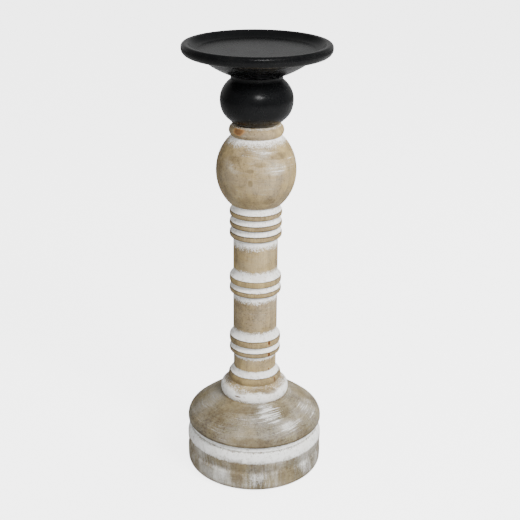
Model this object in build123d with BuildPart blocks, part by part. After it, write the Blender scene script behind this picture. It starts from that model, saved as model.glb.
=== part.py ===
from build123d import *

import os
from math import asin, degrees

# A turned wooden candlestick: a dished black candle plate on a black knop, a whitewashed
# column with a ball and seven rings, and a wide bell-shaped base with felt under it.
#
# Every piece stands on one vertical centre line, the Z axis. Z is 0 where the felt rests.
# Heights are heights above that surface, and radii are measured from the centre line.

# Driving dimensions, in millimetres
plate_radius = 60.0
plate_top = 376.0
plate_seat = 351.0          # the plate stands on the knop here
knop_seat = 311.5           # the knop stands on the column here
column_seat = 70.0          # the column's shoulder stands on the base here
base_bottom = 1.0           # the felt holds the wood this far off the table
fit_gap = 0.05              # clearance around a screw or the tenon
loose_gap = 0.2             # clearance around the felt, and around the screw in its washer

# Candle plate
rim_middle = 372.8
rim_bottom = 366.8
rim_bottom_radius = 55.5
crest_radius = 57.6
rim_shoulder_radius = 54.2  # the flat top of the rim starts here, above the steep inner wall
rim_shoulder_height = 375.2
recess_depth = 5.0
recess_floor_radius = 47.0
bowl_radius = 44.5          # the bowl under the plate meets the rim at this radius
bowl_top = 364.0
bowl_bottom_radius = 21.4

# Knop
knop_radius = 29.6
knop_half_height = 22.8     # of the oval upper half
knop_middle = 331.2
knop_shoulder = 347.2       # the oval ends and the neck begins here
knop_neck_radius = 21.3
knop_bottom_radius = 17.6

# Column: collar and ball
collar_top_radius = 18.2
collar_radius = 22.4
collar_middle = 306.6
collar_bottom = 301.9
ball_radius = 33.0
ball_half_height = 36.8
ball_middle = 272.5
ball_bottom = 244.4
ball_cove_radius = 19.6
ball_step = 0.6             # fall of the small step under the ball

# Column: rings, each given by the top and the bottom height of its face
upper_rings = [(239.3, 234.5), (230.2, 225.3), (220.9, 216.0)]
middle_rings = [(181.1, 175.1), (171.0, 166.3)]
lower_rings = [(125.9, 119.3), (115.1, 110.5)]
ring_radius = 21.9
ring_crown = 0.35           # a ring's face falls back this much at its edges
groove_depth = 2.2
undercut_drop = 1.5         # fall of the step under the last ring of a group
flare_height = 4.5
flare_spread = 0.8          # how far a flare has spread at half its height
shaft_radius = 18.7

# Column: neck, foot bead, foot ring and tenon
neck_radius = 18.3
neck_bottom = 95.0
foot_bead_top = 90.8
foot_bead_top_radius = 21.0
foot_bead_radius = 22.7
foot_bead_bottom = 83.4
foot_bead_bottom_radius = 21.9
foot_ring_shoulder = 80.0
foot_ring_radius = 29.4
foot_ring_middle = 75.2
foot_ring_bottom_radius = 28.0
tenon_radius = 11.0
tenon_length = 20.0

# Base
bell_top_radius = 28.6
bell_bend_radius = 54.0
bell_bend_height = 54.4
bell_radius = 58.7
bell_middle = 46.4
lip_bottom = 43.6
lip_bottom_radius = 57.7
cove_radius = 56.2
cove_top = 42.6
cove_bottom = 38.0
bead_radius = 59.1
bead_middle = 28.4
bead_bottom = 20.8
drum_groove_radius = 57.9
drum_radius = 59.0
drum_top = 18.0
drum_round = 6.0
counterbore_radius = 12.0
counterbore_top = 30.0
felt_radius = 50.0
felt_thickness = 3.0
felt_round = 0.5

# Hardware. Lengths up and down are from the joint that the screw pulls together
plate_screw_radius = 3.0
plate_screw_up = 13.0
plate_screw_down = 17.0
knop_screw_radius = 4.0
knop_screw_up = 15.0
knop_screw_down = 19.0
screw_point = 3.0
hole_spare = 1.0            # a hole runs this much past the screw in it
base_screw_radius = 3.0
base_screw_length = 54.0
base_screw_point = 6.0
screw_head_radius = 6.0
screw_head_height = 3.6
screw_head_flat = 3.0       # radius of the flat end round the drive recess
drive_size = 4.0            # across the flats of the six-sided drive recess
drive_depth = 2.4
washer_radius = 9.0
washer_thickness = 1.6
washer_chamfer = 0.25

os.makedirs("parts", exist_ok=True)


def oval(radius, half_height, middle, top, bottom):
    """The side of an oval turned member, from its top down to its bottom."""
    start = degrees(asin((top - middle) / half_height))
    end = degrees(asin((bottom - middle) / half_height))
    return EllipticalCenterArc(
        (0, middle), radius, half_height, start_angle=start, arc_size=end - start
    )


def ring_group(rings):
    """Crowned ring faces with round-bottomed grooves between them, from the top down."""
    edge = ring_radius - ring_crown
    above = None
    for top, bottom in rings:
        middle = (top + bottom) / 2
        face = ThreePointArc((edge, top), (ring_radius, middle), (edge, bottom))
        if above:
            hollow = (edge - groove_depth, (above.position_at(1).Y + top) / 2)
            ThreePointArc(above @ 1, hollow, face @ 0)
        above = face
    return above


def shaft(radius, top_ring, next_ring_top):
    """A straight shaft under one ring, spreading in a hollow flare to the next ring."""
    undercut = Line(top_ring @ 1, (radius, (top_ring @ 1).Y - undercut_drop))
    side = Line(undercut @ 1, (radius, next_ring_top + flare_height))
    hollow = (radius + flare_spread, next_ring_top + 0.5 * flare_height)
    return ThreePointArc(side @ 1, hollow, (ring_radius - ring_crown, next_ring_top))


def double_ended_screw(radius, bottom, top):
    """The half outline of a headless screw with a point at each end."""
    tip = radius / 3
    return Polyline(
        (0, bottom),
        (tip, bottom),
        (radius, bottom + screw_point),
        (radius, top - screw_point),
        (tip, top),
        (0, top),
        close=True,
    )


# Candle plate: a dished plate whose bowl-shaped underside comes down to the knop
plate_screw_top = plate_seat + plate_screw_up

with BuildPart() as candle_plate:
    with BuildSketch(Plane.XZ):
        with BuildLine():
            floor_height = plate_top - recess_depth
            floor = Line((0, floor_height), (recess_floor_radius, floor_height))
            wall = ThreePointArc(
                floor @ 1, (51.4, 372.5), (rim_shoulder_radius, rim_shoulder_height)
            )
            EllipticalCenterArc(
                (crest_radius, rim_shoulder_height),
                crest_radius - rim_shoulder_radius,
                plate_top - rim_shoulder_height,
                start_angle=180,
                arc_size=-90,
            )
            upper_edge = EllipticalCenterArc(
                (crest_radius, rim_middle),
                plate_radius - crest_radius,
                plate_top - rim_middle,
                start_angle=90,
                arc_size=-90,
            )
            lower_edge = EllipticalCenterArc(
                (rim_bottom_radius, rim_middle),
                plate_radius - rim_bottom_radius,
                rim_middle - rim_bottom,
                start_angle=0,
                arc_size=-90,
            )
            under_rim = Line(lower_edge @ 1, (bowl_radius, bowl_top))
            bowl = ThreePointArc(
                under_rim @ 1, (35.0, 357.5), (bowl_bottom_radius, plate_seat)
            )
            seat = Line(bowl @ 1, (0, plate_seat))
            Line(seat @ 1, floor @ 0)
        make_face()
    revolve(axis=Axis.Z)
    with Locations(Plane.XY.offset(plate_seat).rotated((180, 0, 0))):
        Hole(plate_screw_radius + fit_gap, depth=plate_screw_up + hole_spare)

candle_plate.part.label = "candle_plate"
export_step(candle_plate.part, "parts/candle_plate.step")

# Plate screw: a double-ended wood screw that pulls the plate down on to the knop
with BuildPart() as plate_screw:
    with BuildSketch(Plane.XZ):
        with BuildLine():
            double_ended_screw(
                plate_screw_radius, plate_seat - plate_screw_down, plate_screw_top
            )
        make_face()
    revolve(axis=Axis.Z)

plate_screw.part.label = "plate_screw"
export_step(plate_screw.part, "parts/plate_screw.step")

# Knop: a squat oval with a short neck, bored from both ends for the two screws
with BuildPart() as knop:
    with BuildSketch(Plane.XZ):
        with BuildLine():
            upper_half = oval(
                knop_radius, knop_half_height, knop_middle, knop_shoulder, knop_middle
            )
            lower_half = Spline(
                upper_half @ 1,
                (27.5, 321.2),
                (22.6, 315.4),
                (knop_bottom_radius, knop_seat),
                tangents=[(0, -1), (-1, -0.55)],
            )
            neck = ThreePointArc(
                (knop_neck_radius, plate_seat), (20.9, 349.1), upper_half @ 0
            )
            Line((0, plate_seat), neck @ 0)
            underside = Line(lower_half @ 1, (0, knop_seat))
            Line(underside @ 1, (0, plate_seat))
        make_face()
    revolve(axis=Axis.Z)
    with Locations((0, 0, plate_seat)):
        Hole(plate_screw_radius + fit_gap, depth=plate_screw_down + hole_spare)
    with Locations(Plane.XY.offset(knop_seat).rotated((180, 0, 0))):
        Hole(knop_screw_radius + fit_gap, depth=knop_screw_up + hole_spare)

knop.part.label = "knop"
export_step(knop.part, "parts/knop.step")

# Knop screw: a heavier double-ended wood screw between the knop and the column
with BuildPart() as knop_screw:
    with BuildSketch(Plane.XZ):
        with BuildLine():
            double_ended_screw(
                knop_screw_radius, knop_seat - knop_screw_down, knop_seat + knop_screw_up
            )
        make_face()
    revolve(axis=Axis.Z)

knop_screw.part.label = "knop_screw"
export_step(knop_screw.part, "parts/knop_screw.step")

# Column: one spindle with a collar, a ball, seven rings, a foot and a tenon below
tenon_bottom = column_seat - tenon_length
screwed_wood = tenon_bottom - counterbore_top
thread_in_column = base_screw_length - screwed_wood - washer_thickness

with BuildPart() as column:
    with BuildSketch(Plane.XZ):
        with BuildLine():
            top_face = Line((0, knop_seat), (collar_top_radius, knop_seat))
            ball = oval(ball_radius, ball_half_height, ball_middle, collar_bottom, ball_bottom)
            ThreePointArc(top_face @ 1, (collar_radius, collar_middle), ball @ 0)
            cove_start = Line(ball @ 1, (ball_cove_radius, ball_bottom - ball_step))
            ThreePointArc(
                cove_start @ 1,
                (20.2, 241.6),
                (ring_radius - ring_crown, upper_rings[0][0]),
            )
            third_ring = ring_group(upper_rings)
            shaft(shaft_radius, third_ring, middle_rings[0][0])
            fifth_ring = ring_group(middle_rings)
            shaft(shaft_radius, fifth_ring, lower_rings[0][0])
            seventh_ring = ring_group(lower_rings)
            neck_top = Line(
                seventh_ring @ 1, (neck_radius, (seventh_ring @ 1).Y - undercut_drop)
            )
            neck = Line(neck_top @ 1, (neck_radius, neck_bottom))
            neck_cove = ThreePointArc(
                neck @ 1, (19.2, 92.4), (foot_bead_top_radius, foot_bead_top)
            )
            foot_bead = ThreePointArc(
                neck_cove @ 1,
                (foot_bead_radius, (foot_bead_top + foot_bead_bottom) / 2),
                (foot_bead_bottom_radius, foot_bead_bottom),
            )
            foot_slope = ThreePointArc(
                foot_bead @ 1, (23.6, 81.2), (26.3, foot_ring_shoulder)
            )
            foot_ring = ThreePointArc(
                foot_slope @ 1,
                (foot_ring_radius, foot_ring_middle),
                (foot_ring_bottom_radius, column_seat),
            )
            shoulder = Line(foot_ring @ 1, (tenon_radius, column_seat))
            tenon_side = Line(shoulder @ 1, (tenon_radius, tenon_bottom))
            tenon_end = Line(tenon_side @ 1, (0, tenon_bottom))
            Line(tenon_end @ 1, top_face @ 0)
        make_face()
    revolve(axis=Axis.Z)
    with Locations((0, 0, knop_seat)):
        Hole(knop_screw_radius + fit_gap, depth=knop_screw_down + hole_spare)
    with Locations(Plane.XY.offset(tenon_bottom).rotated((180, 0, 0))):
        Hole(base_screw_radius + fit_gap, depth=thread_in_column + hole_spare)

column.part.label = "column"
export_step(column.part, "parts/column.step")

# Base: a domed bell, a cove, a heavy bead and a straight drum, bored up the middle
drum_flat_radius = drum_radius - drum_round

with BuildPart() as base:
    with BuildSketch(Plane.XZ):
        with BuildLine():
            top_land = Line((0, column_seat), (bell_top_radius, column_seat))
            bell_side = ThreePointArc(
                top_land @ 1, (40.2, 64.4), (bell_bend_radius, bell_bend_height)
            )
            bell_shoulder = ThreePointArc(
                bell_side @ 1, (57.4, 50.9), (bell_radius, bell_middle)
            )
            lip = ThreePointArc(
                bell_shoulder @ 1, (58.55, 44.8), (lip_bottom_radius, lip_bottom)
            )
            lip_return = Line(lip @ 1, (cove_radius, cove_top))
            cove = ThreePointArc(
                lip_return @ 1, (55.7, (cove_top + cove_bottom) / 2), (cove_radius, cove_bottom)
            )
            bead = ThreePointArc(
                cove @ 1, (bead_radius, bead_middle), (drum_groove_radius, bead_bottom)
            )
            drum_hollow = Line(bead @ 1, (drum_radius, drum_top))
            drum_side = Line(drum_hollow @ 1, (drum_radius, base_bottom + drum_round))
            drum_edge = RadiusArc(
                drum_side @ 1, (drum_flat_radius, base_bottom), drum_round
            )
            bottom = Line(drum_edge @ 1, (0, base_bottom))
            Line(bottom @ 1, top_land @ 0)
        make_face()
    revolve(axis=Axis.Z)
    with Locations((0, 0, column_seat)):
        Hole(tenon_radius + fit_gap, depth=tenon_length)
    with Locations((0, 0, tenon_bottom)):
        Hole(base_screw_radius + fit_gap, depth=tenon_bottom - base_bottom)
    with Locations(Plane.XY.offset(base_bottom).rotated((180, 0, 0))):
        Hole(counterbore_radius, depth=counterbore_top - base_bottom)
        Hole(felt_radius + loose_gap, depth=felt_thickness - base_bottom)

base.part.label = "base"
export_step(base.part, "parts/base.step")

# Base washer: spreads the pull of the base screw on the counterbore's end wall
with BuildPart() as base_washer:
    with BuildSketch(Plane.XY.offset(counterbore_top - washer_thickness)):
        Circle(washer_radius)
        Circle(base_screw_radius + loose_gap, mode=Mode.SUBTRACT)
    extrude(amount=washer_thickness)
    chamfer(base_washer.edges().filter_by(GeomType.CIRCLE).sort_by(SortBy.RADIUS)[-2:], washer_chamfer)

base_washer.part.label = "base_washer"
export_step(base_washer.part, "parts/base_washer.step")

# Base screw: a pan-head wood screw from the counterbore up into the column
head_top = counterbore_top - washer_thickness
screw_end = head_top + base_screw_length

with BuildPart() as base_screw:
    with BuildSketch(Plane.XZ):
        with BuildLine():
            head_side = EllipticalCenterArc(
                (screw_head_flat, head_top),
                screw_head_radius - screw_head_flat,
                screw_head_height,
                start_angle=0,
                arc_size=-90,
            )
            head_end = Line(head_side @ 1, (0, head_top - screw_head_height))
            shank = Line(head_side @ 0, (base_screw_radius, head_top))
            thread = Line(shank @ 1, (base_screw_radius, screw_end - base_screw_point))
            point = Line(thread @ 1, (0, screw_end))
            Line(point @ 1, head_end @ 1)
        make_face()
    revolve(axis=Axis.Z)
    with BuildSketch(Plane.XY.offset(head_top - screw_head_height)):
        RegularPolygon(drive_size / 2, 6, major_radius=False)
    extrude(amount=drive_depth, mode=Mode.SUBTRACT)

base_screw.part.label = "base_screw"
export_step(base_screw.part, "parts/base_screw.step")

# Felt pad: one disc in the base's shallow recess, which covers the counterbore
with BuildPart() as felt_pad:
    with BuildSketch(Plane.XY):
        Circle(felt_radius)
    extrude(amount=felt_thickness)
    fillet(felt_pad.edges().group_by(Axis.Z)[0], felt_round)

felt_pad.part.label = "felt_pad"
export_step(felt_pad.part, "parts/felt_pad.step")
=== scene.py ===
# %% [markdown]
# # A turned and whitewashed candlestick
# The candlestick is four turned pieces of wood on one centre line, held by hidden screws, with
# felt under the foot. The measured frame is loaded first. Everything made here is placed by it.

# %% Load the frame
from math import asin, cos, hypot, pi, radians, sin

import bmesh
import bpy
from mathutils import Matrix, Vector


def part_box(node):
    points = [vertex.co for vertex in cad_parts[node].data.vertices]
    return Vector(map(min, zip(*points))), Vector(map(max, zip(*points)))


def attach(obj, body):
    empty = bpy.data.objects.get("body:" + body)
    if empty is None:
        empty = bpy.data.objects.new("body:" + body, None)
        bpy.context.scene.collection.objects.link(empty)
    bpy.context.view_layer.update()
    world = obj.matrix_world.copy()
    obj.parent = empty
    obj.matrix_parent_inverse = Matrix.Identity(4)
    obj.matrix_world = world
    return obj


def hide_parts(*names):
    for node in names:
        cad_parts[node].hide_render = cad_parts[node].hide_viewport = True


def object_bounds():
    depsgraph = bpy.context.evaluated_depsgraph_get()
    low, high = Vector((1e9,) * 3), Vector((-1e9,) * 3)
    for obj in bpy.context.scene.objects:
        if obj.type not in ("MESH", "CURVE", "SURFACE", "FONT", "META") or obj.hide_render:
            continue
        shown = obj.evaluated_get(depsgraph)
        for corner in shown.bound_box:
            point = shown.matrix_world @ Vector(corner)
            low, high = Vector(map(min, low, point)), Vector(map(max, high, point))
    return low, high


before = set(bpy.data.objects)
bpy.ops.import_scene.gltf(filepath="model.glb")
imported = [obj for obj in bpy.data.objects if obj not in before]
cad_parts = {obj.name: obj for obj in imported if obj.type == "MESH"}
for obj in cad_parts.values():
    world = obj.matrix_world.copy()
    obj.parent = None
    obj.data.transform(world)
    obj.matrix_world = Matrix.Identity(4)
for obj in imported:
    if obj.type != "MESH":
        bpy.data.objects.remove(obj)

MM = 0.001
cad_low, cad_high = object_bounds()
height = cad_high.z
print("frame", sorted(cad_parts), "height", round(height, 4))

# %% [markdown]
# ## The camera
# The view looks a little down on the plate, from about two and a half times the height away. A long
# lens from there keeps the column's sides nearly parallel. The camera is set first, because it
# decides which details can be seen.

# %% Camera
camera_distance = 2.288 * height
camera_height = 1.4367 * height
camera_pitch = radians(22.0)
camera_roll = radians(0.45)

camera_data = bpy.data.cameras.new("camera")
camera_data.sensor_width = 36.0
camera_data.lens = 76.15
camera_data.shift_x = 0.0087
camera = bpy.data.objects.new("camera", camera_data)
camera.matrix_world = (
    Matrix.Translation((0, -camera_distance, camera_height))
    @ Matrix.Rotation(pi / 2 - camera_pitch, 4, "X")
    @ Matrix.Rotation(camera_roll, 4, "Z")
)
bpy.context.scene.collection.objects.link(camera)
bpy.context.scene.camera = camera
print("camera", [round(v, 3) for v in camera.matrix_world.translation])

# %% [markdown]
# ## Node helpers
# Both the shapes and the finishes are node trees. A tree could be drawn by hand in the editor, or
# written out link by link, but both are hard to read again. So one small function makes a node, sets
# its values and joins its inputs in one call, and each common sum has a name.


# %% Make a node
def add(tree, kind, /, *links, out=0, **settings):
    """Adds a node. Links are input values or sockets in order; None leaves an input alone."""
    node = tree.nodes.new(kind)
    for name, value in settings.items():
        setattr(node, name, value)
    sockets = [s for s in node.inputs if s.enabled]
    for socket, value in zip(sockets, links):
        if isinstance(value, bpy.types.NodeSocket):
            tree.links.new(value, socket)
        elif value is not None:
            socket.default_value = value
    return node if out is None else [s for s in node.outputs if s.enabled][out]


def math(tree, operation, *values, clamp=False):
    """A Math node's result."""
    return add(tree, "ShaderNodeMath", *values, operation=operation, use_clamp=clamp)


def times(tree, first, second, clamp=False):
    """One value multiplied by another."""
    return math(tree, "MULTIPLY", first, second, clamp=clamp)


def plus(tree, first, second):
    """Two values added."""
    return math(tree, "ADD", first, second)


def minus(tree, first, second):
    """The second value taken from the first."""
    return math(tree, "SUBTRACT", first, second)


def larger(tree, first, second):
    """The larger of two values."""
    return math(tree, "MAXIMUM", first, second)


def new_tree(name, kind, inputs, outputs):
    """A node group with named inputs and outputs, each given as name, socket type, default."""
    tree = bpy.data.node_groups.new(name, kind)
    for direction, sockets in (("INPUT", inputs), ("OUTPUT", outputs)):
        for label, socket_type, *default in sockets:
            made = tree.interface.new_socket(
                label, in_out=direction, socket_type="NodeSocket" + socket_type
            )
            if default:
                made.default_value = default[0]
    source = tree.nodes.new("NodeGroupInput")
    sink = tree.nodes.new("NodeGroupOutput")
    return tree, source.outputs, sink.inputs


def new_material(name):
    """A new material, with its tree and its shader."""
    material = bpy.data.materials.new(name)
    material.use_nodes = True
    return material, material.node_tree, material.node_tree.nodes["Principled BSDF"]


print("helpers", [helper.__name__ for helper in (add, math, new_tree, new_material)])

# %% [markdown]
# ## The lathe
# Every wooden piece was shaped on a lathe, so its form is one outline turned about the centre line.
# Blender's Screw modifier could turn it too, but a node tree can also give the wood its small
# faults: a slight wobble, and chips along the sharp edges. The tree bends a flat grid round the
# axis. One side of the grid follows the outline, the other follows the angle. The faults fade out
# near the axis, so that the middle closes in one point.


# %% The lathe's node tree
wobble_scale = 22.0
chip_scale = 420.0
axis_zone = 4 * MM
weld_distance = 0.004 * MM
drive_lobes = 6.0
flank_steepness = 1.6


def bent_round(tree, angle, radius, z):
    """A place on the turned surface, from its angle, radius and height."""
    across = times(tree, radius, math(tree, "COSINE", angle))
    deep = times(tree, radius, math(tree, "SINE", angle))
    return add(tree, "ShaderNodeCombineXYZ", across, deep, z)


def turned_ripple(tree, angle, z, radius, scale, seed):
    """Noise that closes on itself round the axis, because it is read on the turned surface."""
    place = bent_round(tree, angle, radius, z)
    return add(tree, "ShaderNodeTexNoise", place, seed, scale, 2.0, 0.5, noise_dimensions="4D")


def build_lathe():
    """Turns an outline of edges in the XZ plane into a closed piece."""
    tree, given, result = new_tree(
        "lathe", "GeometryNodeTree",
        [("Outline", "Geometry"), ("Sides", "Int", 96), ("Steps", "Int", 200),
         ("Wobble", "Float", 0.0), ("Chip Depth", "Float", 0.0), ("Seed", "Float", 0.0),
         ("Pitch", "Float", 0.001), ("Thread Depth", "Float", 0.0), ("Material", "Material")],
        [("Piece", "Geometry")],
    )
    outline = add(tree, "GeometryNodeMeshToCurve", given["Outline"])
    rows = plus(tree, given["Steps"], 1.0)
    columns = plus(tree, given["Sides"], 1.0)
    grid = add(tree, "GeometryNodeMeshGrid", 1.0, 1.0, columns, rows)
    place = add(tree, "ShaderNodeSeparateXYZ", add(tree, "GeometryNodeInputPosition"), out=None)
    angle = times(tree, plus(tree, place.outputs[0], 0.5), 2 * pi)
    along = plus(tree, place.outputs[1], 0.5)

    def follow(value, data_type):
        """A value read along the outline."""
        sample = add(tree, "GeometryNodeSampleCurve", out=None, mode="FACTOR", data_type=data_type)
        tree.links.new(outline, sample.inputs["Curves"])
        tree.links.new(value, [s for s in sample.inputs if s.enabled and s.name == "Value"][0])
        tree.links.new(along, sample.inputs["Factor"])
        return [s for s in sample.outputs if s.enabled and s.name == "Value"][0]

    spot = add(tree, "ShaderNodeSeparateXYZ",
               follow(add(tree, "GeometryNodeInputPosition"), "FLOAT_VECTOR"), out=None)
    radius, z = spot.outputs[0], spot.outputs[2]
    marks = {}
    for label in ("paint", "edge", "thread", "lobes"):
        mark = add(tree, "GeometryNodeInputNamedAttribute", label, data_type="FLOAT")
        marks[label] = follow(mark, "FLOAT")

    wobble = turned_ripple(tree, angle, z, radius, wobble_scale, given["Seed"])
    wobble = times(tree, minus(tree, wobble, 0.5), given["Wobble"])
    chips = turned_ripple(tree, angle, z, radius, chip_scale, given["Seed"])
    chips = add(tree, "ShaderNodeMapRange", chips, 0.56, 0.70, 0.0, 1.0)
    chips = times(tree, chips, times(tree, marks["edge"], given["Chip Depth"]))
    turns = math(tree, "DIVIDE", angle, 2 * pi)
    wave = math(tree, "FRACT", minus(tree, math(tree, "DIVIDE", z, given["Pitch"]), turns))
    valley = math(tree, "ABSOLUTE", minus(tree, times(tree, wave, 2.0), 1.0))
    valley = math(tree, "MINIMUM", times(tree, valley, flank_steepness), 1.0)
    cut = times(tree, valley, times(tree, marks["thread"], given["Thread Depth"]))
    lobe = times(tree, math(tree, "COSINE", times(tree, angle, drive_lobes)), marks["lobes"])

    near_axis = math(tree, "DIVIDE", radius, axis_zone, clamp=True)
    change = minus(tree, wobble, plus(tree, chips, cut))
    change = plus(tree, times(tree, change, near_axis), lobe)
    turned = bent_round(tree, angle, plus(tree, radius, change), z)
    shape = grid
    for label in ("paint", "edge"):
        shape = add(tree, "GeometryNodeStoreNamedAttribute", shape, None, label, marks[label],
                    data_type="FLOAT", domain="POINT")
    shape = add(tree, "GeometryNodeSetPosition", shape, None, turned)
    shape = add(tree, "GeometryNodeMergeByDistance", shape, None, weld_distance)
    shape = add(tree, "GeometryNodeSetShadeSmooth", shape)
    shape = add(tree, "GeometryNodeRealizeInstances", shape)
    shape = add(tree, "GeometryNodeSetMaterial", shape, None, given["Material"])
    tree.links.new(shape, result["Piece"])
    return tree


lathe = build_lathe()
print("lathe tree", len(lathe.nodes), "nodes")

# %% [markdown]
# ## Drawing an outline
# A turner reads a drawing of beads, coves and flats from one end to the other. The outline here is
# drawn in the same way, in millimetres. Each stretch also says how much white paint it holds and
# how exposed its edge is, so that the finish follows the form exactly. Under the bell's lip, along
# the rings' lower corners and in the base's cove these marks also darken the wood as painted shade.
# A curve could be drawn by hand, but numbers let one piece meet the next.


# %% Outline
class Outline:
    """A line of points from one end of a turned piece to the other, with marks for the finish."""

    def __init__(self, radius, z, paint=0.0):
        self.points = [(radius, z, paint, 0.0, 0.0, 0.0)]

    def to(self, radius, z, via=None, paint=None, edge=0.0, thread=0.0, lobes=0.0):
        """A straight stretch, or an arc through one more point. Paint is its start and end."""
        start = self.points[-1]
        paint = paint if isinstance(paint, tuple) else (paint, paint)
        first, last = (start[2] if p is None else p for p in paint)
        for share, r, h in self._between(start[:2], via, (radius, z)):
            self.points.append((r, h, first + (last - first) * share, edge, thread, lobes))
        return self

    @staticmethod
    def _between(a, via, b):
        """Places along the stretch, about half a millimetre apart, each with its share of it."""
        if via is None:
            count = max(1, round(hypot(b[0] - a[0], b[1] - a[1]) / 0.5))
            return [
                (k / count, a[0] + (b[0] - a[0]) * k / count, a[1] + (b[1] - a[1]) * k / count)
                for k in range(1, count + 1)
            ]
        # The arc's centre is the one point that lies equally far from all three places.
        (ax, ay), (bx, by), (cx, cy) = a, via, b
        d = 2 * (ax * (by - cy) + bx * (cy - ay) + cx * (ay - by))
        sa, sb, sc = ax**2 + ay**2, bx**2 + by**2, cx**2 + cy**2
        ox = (sa * (by - cy) + sb * (cy - ay) + sc * (ay - by)) / d
        oy = (sa * (cx - bx) + sb * (ax - cx) + sc * (bx - ax)) / d
        spoke = Vector((ax - ox, ay - oy))
        sweep = -spoke.angle_signed(Vector((cx - ox, cy - oy)))
        if (sweep > 0) != ((bx - ax) * (cy - ay) - (by - ay) * (cx - ax) > 0):
            sweep -= 2 * pi if sweep > 0 else -2 * pi
        count = max(4, round(abs(sweep) * spoke.length / 0.4))
        places = []
        for k in range(1, count + 1):
            turn = Matrix.Rotation(sweep * k / count, 2) @ spoke
            places.append((k / count, ox + turn.x, oy + turn.y))
        return places

    def oval(self, radius, rise, middle, bottom, paint, count=120):
        """The side of an oval member, down to a height. Paint is a rule of how far down it is."""
        top = self.points[-1][1]
        a, b = asin((top - middle) / rise), asin((bottom - middle) / rise)
        for k in range(1, count + 1):
            t = a + (b - a) * k / count
            self.points.append((radius * cos(t), middle + rise * sin(t), paint(k / count), 0, 0, 0))
        return self

    def mesh(self, name):
        """The outline as edges, with its marks as attributes."""
        made = bpy.data.meshes.new(name)
        spots = [(r * MM, 0, z * MM) for r, z, *_ in self.points]
        made.from_pydata(spots, [(k, k + 1) for k in range(len(spots) - 1)], [])
        for column, label in enumerate(("paint", "edge", "thread", "lobes"), start=2):
            values = made.attributes.new(label, "FLOAT", "POINT").data
            values.foreach_set("value", [p[column] for p in self.points])
        return made


def turn(name, outline, node, slot, material, sides=128, step=0.5, **settings):
    """Turns an outline on the lathe into a finished piece that stands for a node. Settings are the
    tree's inputs by name, with _ for a space."""
    length = sum(
        hypot(b[0] - a[0], b[1] - a[1]) for a, b in zip(outline.points, outline.points[1:])
    )
    blank = bpy.data.objects.new(name + "_outline", outline.mesh(name + "_outline"))
    bpy.context.scene.collection.objects.link(blank)
    modifier = blank.modifiers.new("lathe", "NODES")
    modifier.node_group = lathe
    values = {"Sides": sides, "Steps": round(length / step), "Material": material, **settings}
    for item in lathe.interface.items_tree:
        label = item.name.replace(" ", "_")
        if item.in_out == "INPUT" and label in values:
            modifier[item.identifier] = values[label]
    bpy.context.view_layer.update()
    ready = blank.evaluated_get(bpy.context.evaluated_depsgraph_get())
    mesh = bpy.data.meshes.new_from_object(ready)
    blank.modifiers.clear()
    bpy.data.objects.remove(blank)
    tidy = bmesh.new()
    tidy.from_mesh(mesh)
    bmesh.ops.recalc_face_normals(tidy, faces=tidy.faces)
    if tidy.calc_volume(signed=True) < 0:
        bmesh.ops.reverse_faces(tidy, faces=tidy.faces)
    open_edges = sum(not e.is_manifold for e in tidy.edges)
    tidy.to_mesh(mesh)
    tidy.free()
    mesh.name = name
    piece = bpy.data.objects.new(name, mesh)
    bpy.context.scene.collection.objects.link(piece)
    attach(piece, "root")
    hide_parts(node)
    heights = [vertex.co.z / MM for vertex in mesh.vertices]
    low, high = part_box(node)
    print(name, len(mesh.polygons), "faces, open edges", open_edges)
    print("  from", round(min(heights), 2), "to", round(max(heights), 2),
          "in", round(low.z / MM, 2), "to", round(high.z / MM, 2))
    return piece


print("an outline starts as", Outline(10.0, 5.0).points)

# %% [markdown]
# ## Floor and light
# A pale sweep and soft light keep the attention on the wood. A large lamp stands to the front right
# and high, so the right side of each member is bright and the left falls into soft shade. A weaker
# one fills the left, and a third lights the right edge from behind. Glossy black would show all
# three, so they are kept out of reflections. Only a small wide window light shows there, as one
# gleam. The floor and the room look white to the camera, but light the wood only gently.

# %% Floor, world and lamps
floor_reach = 4.0
backdrop_glow = 4.0
room_light = 0.18
backdrop_light = 0.36

corners = [(x * floor_reach, y * floor_reach, 0) for x, y in ((-1, -1), (1, -1), (1, 1), (-1, 1))]
floor_mesh = bpy.data.meshes.new("floor")
floor_mesh.from_pydata(corners, [], [(0, 1, 2, 3)])
floor = bpy.data.objects.new("floor", floor_mesh)
bpy.context.scene.collection.objects.link(floor)

pale, tree, shader = new_material("pale_floor")
shader.inputs["Base Color"].default_value = (0.5, 0.5, 0.5, 1)
shader.inputs["Roughness"].default_value = 0.9
shader.inputs["Specular IOR Level"].default_value = 0.1
shader.inputs["Emission Strength"].default_value = backdrop_glow
tree.links.new(add(tree, "ShaderNodeLightPath"), shader.inputs["Emission Color"])
floor_mesh.materials.append(pale)

world = bpy.data.worlds.new("studio")
world.use_nodes = True
room = world.node_tree
way = add(room, "ShaderNodeSeparateXYZ", add(room, "ShaderNodeTexCoord"), out=None).outputs
behind = add(room, "ShaderNodeMapRange", way[1], 0.25, 0.85, 0.0, 1.0)
low_down = add(room, "ShaderNodeMapRange", way[2], 0.65, 0.25, 0.0, 1.0)
backdrop = times(room, behind, low_down)
seen_by_camera = add(room, "ShaderNodeLightPath")
brightness = plus(room, times(room, backdrop, backdrop_light), room_light)
brightness = larger(room, brightness, times(room, seen_by_camera, backdrop_glow))
room.links.new(brightness, room.nodes["Background"].inputs["Strength"])
room.nodes["Background"].inputs["Color"].default_value = (1, 1, 1, 1)
bpy.context.scene.world = world


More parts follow.
